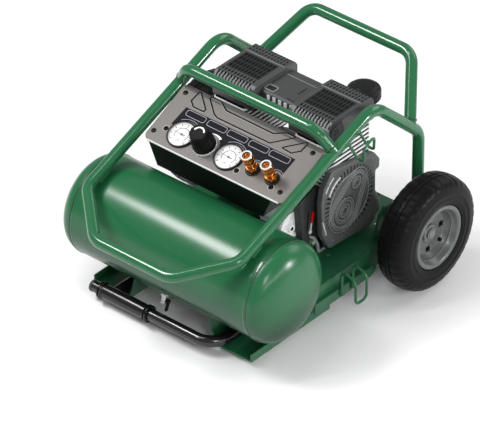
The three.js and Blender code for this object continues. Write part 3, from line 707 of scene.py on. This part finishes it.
# The back curl and the strip before it are a darker copy of the panel grey: painted shade along the back
# edge.
back_curl = [Vector((x, PANEL["y"], PANEL["z"])) + PV * (tall - 1.5) - PN * 3.2
             for x in (-half + 7, half - 7)]
piece("panel_back_curl", *tube(back_curl, 3.4, 20), PANEL_DARK)
shade_strip = rectangle(-half + 4, half - 4, tall - 9, tall - 0.5, 3)
piece("panel_back_shade", *prism(shade_strip, 0.02, 0.12), PANEL_DARK, where=on_panel())

label = rounded([(-150.6, 53), (140, 52), (142, 101), (-147, 100.5)], 0.8)
sheet_mark = piece("label", *prism(label, 0.05, 0.35), NAVY, where=on_panel())
clear = [hole(34.5, TANK_GAUGE, 5), hole(34.5, OUTLET_GAUGE, 5), hole(31, KNOB, 5)]
clear += [hole(20, spot, 5, 32) for spot in COUPLERS]
cut(sheet_mark, join(clear), where=on_panel())
for i, (left, right) in enumerate(((-138, -89), (-81.5, -33), (-28, 22), (29, 78), (83, 134))):
    frame_line = rectangle(left, right, 84, 98, 4.5)
    piece(f"label_box_{i}", *outline_line(frame_line, 1.1, 0.3, 0.55), INK, where=on_panel())
for i, ((u, v), r, a0, a1) in enumerate(((TANK_GAUGE, 37.5, 50, 130), (OUTLET_GAUGE, 37.5, 40, 130),
                                         (COUPLERS[0], 22.5, 40, 140), (COUPLERS[1], 22.5, 30, 140))):
    piece(f"label_arc_{i}", *arc_band(r, r + 0.9, a0, a1, 0.3, 0.55), INK, where=on_panel(u, v))
wedge = []
for k in range(21):
    a = math.radians(104 - 50 * k / 20)
    wedge.append(polar(31.2, a))
for k in range(21):
    a, wide = math.radians(54 + 50 * k / 20), 0.6 + 4.6 * (1 - k / 20)
    wedge.append(polar(31.2 + wide, a))
piece("knob_wedge", *prism(wedge, 0.3, 0.6), WHITE, where=on_panel(*KNOB))

# Pressed outlines in the upper half of the panel, drawn flat: a black line of painted shade along each, with
# a light line of painted highlight beside it
MARKS = (((-145, 143), (-147.5, 118), (-134, 107.4), (-107, 107.4), (-105.8, 114), (-140.5, 143)),
         ((-115.7, 141), (-111, 145), (-89, 145), (-74, 137), (-64, 131.5), (61, 130.6), (86.5, 145),
          (111, 145), (109, 142.9), (68, 108.4), (-71, 108.5), (-82, 112.7)),
         ((97.5, 110.7), (124, 109), (140, 122), (142, 143), (137, 143.6)))
for i, mark in enumerate(MARKS):
    piece(f"emboss_{i}", *outline_line(rounded(mark, 1.6, 3), 3.4, -0.1, 0.3), EMBOSS, where=on_panel())
    inset = [(u, v - 2.1) for u, v in rounded(mark, 1.6, 3)]
    piece(f"emboss_highlight_{i}", *outline_line(inset, 1.0, -0.1, 0.2), PANEL_LIGHT, where=on_panel())

# Panel screws: mm across, mm up, and whether a bright washer shows round the head
SCREWS = ((-170.9, 128.3, 0), (-174, 23.3, 0), (-153, 39.0, 1), (47.1, 23.1, 1), (137.5, 23.2, 1),
          (162, 22.5, 0), (165.1, 129.8, 0))
for i, (u, v, washer) in enumerate(SCREWS):
    where = on_panel(u, v, turn=23 * i)
    head = piece(f"panel_screw_{i}", *turned([(0, 2.5), (3.2, 2.3), (5.2, 1.2), (5.6, 0.1), (0, 0)], 32),
                 KNOB_BLACK if not washer else EMBOSS, where=where)
    cut(head, disc(2.4, 0.9, 5, 6), where=where)
    if washer:
        piece(f"panel_washer_{i}", *ring(7.4, 6.1, 0.05, 0.7, 36), PANEL_LIGHT, where=where)

DIAL_TOP, PRINT_TOP = 1.3, 1.42
POINTER = [(-8, -1.5), (-3, -1.0), (21.5, -0.3), (21.5, 0.3), (-3, 1.0), (-8, 1.5)]


def dial_marks():
    """Forty-one ticks over 270 degrees, two arcs and two small dashes."""
    marks = []
    for k in range(41):
        long = k % 5 == 0
        thick = 1.1 if long else 0.3
        tick = slab(21.4 if long else 23, 26, -thick, thick, DIAL_TOP, PRINT_TOP)
        marks.append(moved(tick, spin(math.radians(225 - 270 * k / 40))))
    marks.append(arc_band(14.8, 16.6, -40, 220, DIAL_TOP, PRINT_TOP, 60))
    marks.append(arc_band(26.4, 27.0, -48, 228, DIAL_TOP, PRINT_TOP, 60))
    for wide, low, high in ((5, -2.0, -0.9), (3.2, 0.4, 1.5)):
        marks.append(moved(slab(-wide, wide, low, high, DIAL_TOP, PRINT_TOP), shift(0, -14)))
    return join(marks)


for name, (u, v) in (("tank", TANK_GAUGE), ("outlet", OUTLET_GAUGE)):
    where = on_panel(u, v)
    case = [(0, -26), (29, -26), (29, 0.2), (32.0, 0.2), (32.2, 3.6), (31.4, 5.2), (29.4, 5.6), (28.7, 4.6),
            (28.7, 1.0), (0, 1.0)]
    piece(f"{name}_gauge_bezel", *turned(case, 96), BLACK, where=where, instead=(f"{name}_gauge_case",))
    piece(f"{name}_dial", *disc(28.6, 1.02, DIAL_TOP, 96), DIAL, where=where)
    piece(f"{name}_glass", *disc(28.9, 4.3, 4.7, 64), GLASS, where=where)
    piece(f"{name}_dial_marks", *dial_marks(), PRINT, where=where)
    for k in range(7):
        a = math.radians(225 - 45 * k)
        text = bpy.data.curves.new(f"{name}_figure_{k}", "FONT")
        text.body = str(k * (20 if name == "tank" else 10))
        text.size = 0.0042
        text.align_x, text.align_y = "CENTER", "CENTER"
        text.extrude = 0.00004
        number = linked(text.name, text)
        spot = where @ Vector((*polar(19.2, a), 1.38))
        turn = place((1, 0, 0), PV, PN, (0, 0, 0))
        turn.translation = at(*spot)
        number.matrix_world = turn
        text.materials.append(PRINT)
        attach(number, "chassis")
    body = f"{name}_needle"
    piece(f"{name}_pointer", *prism(POINTER, 2.0, 2.5), GREY_PRINT, body=body,
          where=on_panel(u, v, turn=NEEDLE_DEG), instead=(f"{name}_gauge_needle",))
    piece(f"{name}_pointer_hub", *turned([(0, 1.7), (2.8, 1.7), (2.8, 2.9), (2.2, 3.4), (0, 3.5)], 32), PRINT,
          body=body, where=where)

where = on_panel(*KNOB)
ring_profile = [(0, -48), (22, -48), (22, -3.2), (12.6, -3.2), (12.6, 0.2), (25.6, 0.2), (26.3, 1),
                (26.3, 4.4), (25.4, 5.6), (0, 5.6)]
piece("regulator_ring", *turned(ring_profile, 96), ZINC, where=where, sharp=40,
      instead=("regulator_body",))


def flutes(a, r, h):
    """Twenty-six grooves round the regulator knob."""
    deep = 1.0 if 9 < h < 43 and r > 17 else 0
    return r - deep * max(0, math.cos(a * 26)) ** 2


knob_profile = [(0, 6.4), (24.6, 6.4), (25.4, 7.6), (25.4, 9)]
knob_profile += [(25.2 - 4.2 * (k / 12) ** 1.6, 9.5 + 33 * k / 12) for k in range(13)]
knob_profile += [(20.2, 44), (19.8, 45), (19.8, 48.6), (0, 48.6)]
piece("knob_body", *turned(knob_profile, 208, flutes), KNOB_BLACK, body="knob", where=where, sharp=50,
      instead=("regulator_knob",))
facets = [(15.2, 48.4), (19.9, 48.4), (19.9, 49.6), (19.0, 50.4), (16.2, 50.4), (15.2, 49.6), (15.2, 48.4)]
piece("knob_ring", *turned(facets, 10), KNOB_BLACK, body="knob", where=where, sharp=25)
piece("knob_top", *disc(15.4, 48.4, 49.4, 64, 0.4), KNOB_BLACK, body="knob", where=where)
piece("knob_mark", *arc_band(10.2, 13.4, 20, 172, 49.4, 49.7), WHITE, body="knob", where=where)


def knurl(a, r, h):
    """Fine ridges round the waist of a coupler sleeve."""
    return r + (0.22 * math.cos(a * 40) if 27 < h < 34 and r > 10.3 else 0)


gasket_profile = [(9.9, 0.1), (16.2, 0.1), (16.2, 1.8), (15.2, 2.6), (9.9, 2.6), (9.9, 0.1)]
stem_profile = [(0, -24), (9.4, -24), (9.4, 13), (11.6, 13.2), (12.2, 14.2), (12.2, 16.6), (11.6, 17.4),
                (9.5, 17.6), (9.5, 43.4), (8.5, 43.6), (8.5, 47.4), (8, 48), (5.2, 48), (4.6, 47.2), (4.6, 4),
                (0, 4)]
sleeve_profile = [(9.8, 24), (10.8, 24), (11.3, 24.6), (11.3, 26), (10.6, 27), (10.6, 33.5), (11.6, 35),
                  (12.2, 36.5), (12.2, 38.2), (11.5, 39), (11.5, 41), (12.3, 42), (12.4, 48.6), (11.6, 50),
                  (10.4, 50), (9.8, 49.2), (9.8, 24)]
for i, spot in enumerate(COUPLERS, 1):
    where, body = on_panel(*spot), f"sleeve_{i}"
    piece(f"coupler_gasket_{i}", *turned(gasket_profile, 64), RUBBER, where=where)
    piece(f"coupler_hex_{i}", *disc(13.2, 2.8, 12.5, 6), BRASSY, where=where, sharp=20, bevel=1.0)
    piece(f"coupler_stem_{i}", *turned(stem_profile, 64), BRASSY, where=where, instead=(f"coupler_body_{i}",))
    piece(f"coupler_collar_{i}", *turned(sleeve_profile, 96, knurl), BRASSY, body=body, where=where, sharp=30,
          instead=(f"coupler_sleeve_{i}",))
    # The top lip is light grey: a painted highlight.
    piece(f"coupler_lip_{i}", *ring(12.0, 8.8, 49.9, 50.9, 64), GLINT, body=body, where=where)
    piece(f"coupler_poppet_{i}", *disc(4.5, 44, 45.4, 32, 0.6), BRASSY, where=where)

# ---------- pump

# Rows of vents in a cowl, front to back: y from, y to, how many and x of the first
VENT_ROWS = ((106, 116, 11, 63), (119, 130, 11, 63), (136, 147, 10, 66), (150, 164, 10, 66),
             (167, 181, 10, 66), (184, 196, 10, 66), (209, 217, 12, 58), (220, 228, 12, 58),
             (230.5, 237, 12, 58))


def vent_rows(rows, pitch=8.2, wide=4.2):
    """Upright cutters for rows of slots that run front to back."""
    vents = []
    for y0, y1, count, start in rows:
        slot = moved(oblong(y1 - y0, wide, 375, 420, 4), spin(math.pi / 2))
        vents += [moved(slot, shift(start + pitch * k, (y0 + y1) / 2)) for k in range(count)]
    return join(vents)


def cowl(side, mirror):
    """A moulded cover with rows of vents and a darker grid in the middle; its front teeth, front band and
    ridge are a lighter grey that is painted highlight.
    """
    outline = rounded([(102, 347), (102, 391), (106, 397), (113, 403), (204, 403), (237, 401), (243, 392),
                       (243, 347)], [2, 3, 4, 5, 8, 6, 5, 2], 4)
    shell = piece(f"shell_{side}", *prism(outline, 46.5, 155.5), SHELL, where=SIDE_ON, mirror=mirror,
                  instead=(f"cowl_{side}",))
    soften(shell, 3.2, 3)
    inside = prism([(104.5, 330), (104.5, 391), (114, 400.2), (204, 400.2), (236, 398.4), (240.4, 391),
                    (240.4, 330)], 49, 153)
    cut(shell, inside, where=SIDE_ON, mirror=mirror)
    cut(shell, vent_rows(VENT_ROWS), mirror=mirror)
    grid = piece(f"cowl_grid_{side}", *slab(60, 146, 133.5, 198, 402.6, 403.5), SHELL_DARK, mirror=mirror)
    cut(grid, vent_rows(VENT_ROWS[2:6]), mirror=mirror)
    teeth = []
    for k in range(12):
        tooth = prism([(101.2, 391.5), (107.6, 399.6), (106.6, 400.6), (100.2, 392.4)], -1.7, 1.7)
        teeth.append(moved(tooth, along_x(0, 0, 59 + 8.2 * k)))
    piece(f"cowl_teeth_{side}", *join(teeth), SHELL_HIGHLIGHT, mirror=mirror)
    band = rounded([(100.6, 366), (102.5, 366), (102.5, 391), (100.6, 389)], 0.4)
    piece(f"cowl_band_{side}", *prism(band, 48, 154), SHELL_HIGHLIGHT, where=SIDE_ON, mirror=mirror, bevel=0.3)
    piece(f"cowl_ridge_{side}", *slab(49, 153, 202.8, 204.4, 402.4, 403.9), SHELL_HIGHLIGHT, mirror=mirror,
          bevel=0.5)
    # A near-black block inside the cowl, seen through the vents: painted shade.
    piece(f"cowl_inner_{side}", *slab(70, 146, 110, 236, 352, 382), SHELL_DARK, mirror=mirror, bevel=2)
    corner = rounded([(102.6, 348), (102.6, 390), (112, 398), (140, 396), (148, 370), (140, 348)], 4)
    piece(f"cowl_corner_{side}", *prism(corner, 155.2, 156.6), SHELL_DARK, where=SIDE_ON, mirror=mirror,
          bevel=0.5)
    inset = rounded([(108, 368), (108, 386), (128, 390), (132, 374)], 3)
    piece(f"cowl_inset_{side}", *outline_line(inset, 2, 156.4, 157.6), SHELL, where=SIDE_ON, mirror=mirror)


for side, mirror in SIDES:
    cowl(side, mirror)

repaint("cowl_bridge", SHELL, 2.0, 3)
# The bridge's ridge and the pocket's rim are the lighter grey: painted highlights.
piece("bridge_ridge", *slab(-45, 45, 202.8, 204.4, 389.4, 391.3), SHELL_HIGHLIGHT, bevel=0.5)
# The grooves and the pocket floor are flat near-black strips on the bridge's top: painted shade.
groove = rounded([(16, 134), (40, 134), (46, 150), (46, 196), (16, 196)], [4, 10, 8, 4, 4])
piece("bridge_groove", *outline_line(groove[2:-6], 2.6, 390.2, 391.0, closed=False), SHELL_DARK)
piece("pump_web", *slab(-64, 64, 196, 200, 292, 372), SHELL_DARK, bevel=1.5)
piece("bridge_groove_short", *slab(22, 24.6, 160, 188, 390.2, 391.0), SHELL_DARK)
pocket = rectangle(-44, -20, 134, 152, 3)
piece("bridge_pocket", *outline_line(pocket, 2.4, 390.2, 392.0), SHELL_HIGHLIGHT)
piece("bridge_pocket_floor", *prism(pocket, 390.3, 390.8), SHELL_DARK)
# Light grey teeth on the bridge's front: painted highlights.
for k in range(5):
    piece(f"bridge_tooth_{k}", *slab(-30 + 15 * k, -22 + 15 * k, 125.2, 126.8, 374, 385), GLINT, bevel=0.4)

# Cylinders: a dark barrel with bright plates; the black showing between the plates is painted shade
for side, mirror in SIDES:
    fins = [prism(rectangle(66, 150, 98, 240, 6), 246 + 10.4 * k, 250.6 + 10.4 * k) for k in range(10)]
    made = piece(f"fins_{side}", *join(fins), ALU, mirror=mirror, instead=(f"cylinder_{side}",))
    soften(made, 0.5)
    barrel = rectangle(68, 148.4, 100, 238.4, 6)
    piece(f"barrel_{side}", *prism(barrel, 240, 346), KNOB_BLACK, mirror=mirror)

for name in ("crankcase_left", "crankcase_right"):
    repaint(name, BOX_BLACK, 2.5, 3)


def motor_ribs(a, r, h):
    return r - (1.6 if r > 75 and math.sin(a * 36) > 0.2 else 0)


motor_profile = [(9, -60), (66, -60), (74, -54), (76, -48), (76, 48), (74, 54), (66, 60), (9, 60)]
piece("motor_shell", *turned(motor_profile, 144, motor_ribs), SHELL, where=along_x(SHAFT["y"], SHAFT["z"]),
      sharp=30, instead=("motor_housing",))

# The fan cover's outline and its hollow, as (y, z)
COVER = ((95, 107), (73, 149), (69, 231), (76, 261), (103, 294), (236, 273), (254, 249), (253, 228),
         (241, 226), (241, 179), (255, 150), (254, 125), (230, 97))
COVER_INSIDE = ((98, 112), (78, 150), (74, 230), (81, 258), (105, 288), (232, 268), (248.6, 246), (248, 232),
                (236, 229), (236, 177), (250, 148), (249, 128), (227, 102))
SLOT_CENTRE = Vector((155, 198))
LOBE_LOW, LOBE_HIGH = Vector((141, 179)), Vector((178, 230))
COVER_SCREWS = ((104, 124), (88, 268), (226, 262), (236, 112), (242, 152))
# Light lines at the cover's front edge, painted highlights: both ends, radius and how far each bows out
COVER_GLINT_LINES = (((91, 239), (125, 269), 2.2, 5), ((80, 252), (104, 279), 1.7, 3),
              ((71, 186), (82, 150), 1.3, 0))


def lobes(low_r, high_r, steps=96):
    """The line round two circles of different size, as a belt would lie on them."""
    out = []
    for k in range(steps + 1):
        way = Vector(polar(1, 2 * math.pi * k / steps))
        reach = [(LOBE_LOW.dot(way) + low_r, LOBE_LOW + way * low_r),
                 (LOBE_HIGH.dot(way) + high_r, LOBE_HIGH + way * high_r)]
        p = max(reach, key=lambda pair: pair[0])[1]
        out.append(Vector((FAN_FACE, p.x, p.y)))
    return out


def circle(centre, r, steps=64):
    """A ring of points on the cover's face."""
    return [Vector((FAN_FACE, *polar(r, 2 * math.pi * k / steps, *centre))) for k in range(steps + 1)]


def fan_cover(side, mirror):
    """A pressed cover: radial slots round the edge, rings about two centres in the middle."""
    edge = rounded(COVER, [14, 16, 16, 14, 12, 14, 10, 6, 4, 6, 12, 14, 16], 5)
    cover = piece(f"fan_shell_{side}", *prism(edge, 149, 165), COVER_GREY, where=SIDE_ON, mirror=mirror,
                  instead=(f"fan_cover_{side}",))
    soften(cover, 4.5, 4)
    cut(cover, prism(rounded(COVER_INSIDE, 8), 130, 161.5), where=SIDE_ON, mirror=mirror)
    slots = []
    for k in range(44):
        a = 2 * math.pi * (k + 0.5) / 44
        r = 72 if math.sin(a + 0.6) > -0.2 else 70
        spot = shift(*polar(r, a, *SLOT_CENTRE))
        slots.append(moved(oblong(15, 4.4, 155, 175, 4), spot @ spin(a)))
    for lobe, r, count in ((LOBE_LOW, 32.5, 20), (LOBE_LOW, 18.5, 12), (LOBE_HIGH, 17, 12)):
        for k in range(count):
            a = 2 * math.pi * (k + 0.5) / count
            spot = shift(*polar(r, a, *lobe))
            slots.append(moved(oblong(6.4, 3.0, 155, 175, 4), spot @ spin(a + math.pi / 2)))
    cut(cover, join(slots), where=SIDE_ON, mirror=mirror)
    # The raised rings are lighter grey than the cover: painted highlight.
    lines = [circle(LOBE_LOW, r) for r in (8, 14.5, 22.5, 28.5)] + [circle(LOBE_HIGH, r) for r in (6, 13)]
    lines += [lobes(r, r - 16) for r in (37, 43, 49)] + [circle(SLOT_CENTRE, 61.5)]
    piece(f"fan_rings_{side}", *join([tube(line, 1.5, 10) for line in lines]), RING_HIGHLIGHT, mirror=mirror)
    boss = turned([(0, 163), (7, 163), (7, 165.6), (5, 167.4), (0, 168)], 40)
    for i, lobe in enumerate((LOBE_LOW, LOBE_HIGH)):
        piece(f"fan_boss_{side}_{i}", *boss, SHELL, where=along_x(*lobe), mirror=mirror)
    head = turned([(0, 167.2), (2.6, 166.9), (3.6, 166), (3.6, 164), (0, 164)], 24)
    for i, spot in enumerate(COVER_SCREWS):
        piece(f"cover_screw_{side}_{i}", *head, DULL_METAL, where=along_x(*spot), mirror=mirror)
    # Painted highlight lines along the cover's front edge.
    for i, ((y0, z0), (y1, z1), wide, bow) in enumerate(COVER_GLINT_LINES):
        arc = []
        for k in range(13):
            t = k / 12
            lift = bow * math.sin(math.pi * t) * 0.7
            arc.append(Vector((165.8, y0 + (y1 - y0) * t - lift, z0 + (z1 - z0) * t + lift)))
        piece(f"cover_glint_line_{side}_{i}", *tube(arc, wide, 10), GLINT, mirror=mirror)


for side, mirror in SIDES:
    fan_cover(side, mirror)

repaint("rotor", SHELL_DARK, 0.6)

FILTER = dict(x=97, y=281)


def filter_ribs(a, r, h):
    return r - (0.9 if 358 < h < 373 and math.sin(a * 30) > 0 else 0)


filter_profile = [(0, 353), (31, 353), (34, 354.5), (36, 358), (36, 364), (35.2, 365), (36, 366), (36, 373),
                  (34.6, 377.5), (31, 380.5), (30, 380.2), (28.6, 382), (22, 384.4), (20.8, 383.8),
                  (19.6, 385.2), (10, 386.6), (0, 387)]
piece("filter_cap", *turned(filter_profile, 120, filter_ribs), BLACK, where=along_z(FILTER["x"], FILTER["y"]),
      sharp=30, instead=("air_filter",))
elbow = [(FILTER["x"], FILTER["y"], 354, 0), (FILTER["x"], FILTER["y"], 328, 12), (FILTER["x"], 236, 328, 0)]
piece("filter_elbow", *tube(bent(elbow, 10), 9, 28), BLACK)

repaint("pressure_switch", SWITCH_GREY, 2.5, 3)
face = rounded([(41, 230), (97, 249), (110, 232), (111, 140), (97, 107), (63, 113), (57, 170)], 3)
piece("switch_face", *prism(face, 127.5, 129.7), SWITCH_GREY, where=SIDE_ON, bevel=0.8)
# The slot is a flat black strip: painted shade.
piece("switch_slot", *prism([(63.5, 152), (67, 152), (71, 198), (67.5, 198)], 129.5, 129.9), EMBOSS,
      where=SIDE_ON)
lever_line = rounded([(-1.6, 0), (1.6, 0), (1.8, 24), (-1.8, 24)], 1)
lean = place((0, 1, 0), (0, 0, 1), (1, 0, 0), (0, 73, 146)) @ spin(math.radians(-11))
stem = join([prism(lever_line, 130.2, 132.6), disc(4, 129.8, 133, 24, 0.6)])
piece("lever_stem", *stem, WHITE, body="switch", where=lean, bevel=0.4)
grip_line = rounded([(-2.6, 21), (2.6, 21), (2.9, 44), (1.6, 47), (-1.6, 47), (-2.9, 44)], 1.2)
piece("lever_grip", *prism(grip_line, 129.9, 133.2), REDDY, body="switch", where=lean, bevel=0.8,
      instead=("switch_lever",))

cast_line = rounded([(50, 201), (68, 170), (76, 140), (35, 138), (3, 180), (22, 204)], [3, 8, 4, 8, 5, 4], 5)
casting = piece("casting", *prism(cast_line, 98, 111.6), CAST, where=SIDE_ON, instead=("cast_bracket",))
slanted = place((0.5, 0.86, 0), (-0.86, 0.5, 0), (0, 0, 1), (52, 156, 0))
cut(casting, moved(oblong(16, 8, 90, 120, 8), slanted), where=SIDE_ON)
cut(casting, prism(rounded([(12, 182), (34, 196), (44, 182), (24, 168)], 3), 104, 130), where=SIDE_ON)
soften(casting, 0.9)
inner_line = rounded([(3, 181), (40, 184), (44, 208), (22, 216), (-4, 206)], 4)
piece("casting_inner", *prism(inner_line, 58, 99), CAST, where=SIDE_ON, bevel=1.2)
piece("casting_lug", *disc(8.5, 110, 116, 32, 1.2), CAST, where=along_x(34, 168))
# The bore is a flat black disc: painted shade.
piece("casting_bore", *disc(4.2, 115.8, 116.4, 24), EMBOSS, where=along_x(34, 168))
strap = rounded([(71, 139), (84, 131), (96, 108), (99, 88), (116, 88), (116, 84.2), (94, 84.2), (90, 106),
                 (80, 126), (69, 135)], [0.5, 8, 8, 3, 0.5, 0.5, 3, 8, 8, 0.5], 5)
clamp = piece("clamp_strap", *prism(strap, 131.5, 136), ZINC, where=SIDE_ON, instead=("foot_clamp",))
soften(clamp, 0.5)
piece("clamp_cup", *disc(11, 127, 131.4, 40, 1.5), PAINT_SHEET, where=along_x(83, 114), sharp=40)
piece("clamp_bolt", *disc(4.4, 131.2, 134.4, 6), ZINC, where=along_x(82, 115), sharp=20, bevel=0.5)

# ---------- floor and light

ground_me = bpy.data.meshes.new("ground")
ground_me.from_pydata([(-12, -12, 0), (12, -12, 0), (12, 12, 0), (-12, 12, 0)], [], [(0, 1, 2, 3)])
ground_me.materials.append(GROUND)
ground = linked("ground", ground_me)
ground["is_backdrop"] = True


def lamp(name, where, aim, size, power):
    """A soft rectangular light, in metres and watts."""
    data = bpy.data.lights.new(name, "AREA")
    data.shape = "RECTANGLE"
    data.size, data.size_y = size
    data.energy = power
    obj = linked(name, data)
    obj.location = where
    obj.rotation_euler = (Vector(aim) - Vector(where)).to_track_quat("-Z", "Y").to_euler()


lamp("key", (-1.5, -1.2, 2.8), (0, 0, 0.2), (1.0, 0.8), 70)
lamp("strip", (-0.5, -1.0, 2.5), (0, 0, 0.3), (0.10, 2.4), 18)
lamp("side_strip", (2.5, -0.5, 0.9), (0, 0, 0.3), (2.4, 0.10), 12)
lamp("fill", (2.4, -1.6, 2.0), (0, 0, 0.2), (0.7, 0.7), 20)
lamp("end_glow", (2.8, 1.35, 0.95), (0.27, -0.19, 0.25), (0.30, 0.45), 34)
lamp("back", (0.6, 2.4, 1.8), (0, 0, 0.2), (2.2, 1.2), 18)
world = bpy.data.worlds.new("studio")
world.use_nodes = True
world.node_tree.nodes["Background"].inputs["Color"].default_value = (1, 1, 1, 1)
world.node_tree.nodes["Background"].inputs["Strength"].default_value = 0.38
bpy.context.scene.world = world
bpy.context.scene.view_settings.view_transform = "Standard"
bpy.context.scene.view_settings.look = "None"

size_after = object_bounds()


def plain(value):
    return [plain(v) for v in value] if hasattr(value, "__len__") else float(value)


{"before": plain(size_before), "after": plain(size_after)}
